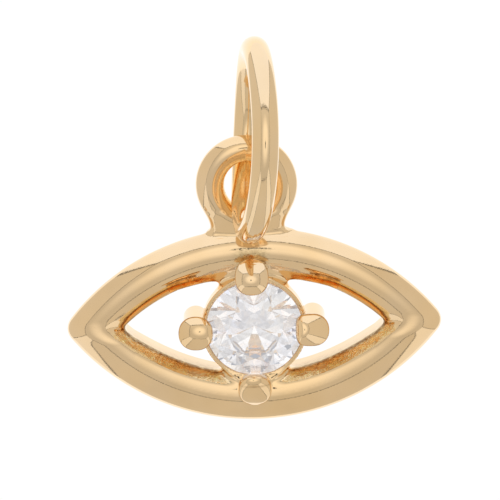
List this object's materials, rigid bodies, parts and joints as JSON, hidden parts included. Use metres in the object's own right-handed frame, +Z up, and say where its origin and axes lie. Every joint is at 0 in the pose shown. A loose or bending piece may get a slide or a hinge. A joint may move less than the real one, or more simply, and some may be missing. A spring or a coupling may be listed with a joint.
{
  "type": "eye charm",
  "caption": "Almond-shaped eye charm with domed gold lids, a round clear stone held by ball prongs, a soldered eyelet and a jump ring, lying on its back.",
  "frame": {"origin": "middle of the bounding box at the surface the charm lies on", "axes": "+Z up out of the eye's front, +Y from the eye towards the eyelet and the jump ring, +X towards the eye's right tip"},
  "size_m": [0.0126, 0.0136, 0.0068],
  "materials": {
    "gold": "polished yellow gold",
    "ring_gold": "polished yellow gold wire",
    "stone": "clear, brilliant cut, polished facets"
  },
  "bodies": {
    "root": {"eye_body": "gold", "stone": "stone", "jump_ring": "ring_gold"}
  },
  "joints": []
}
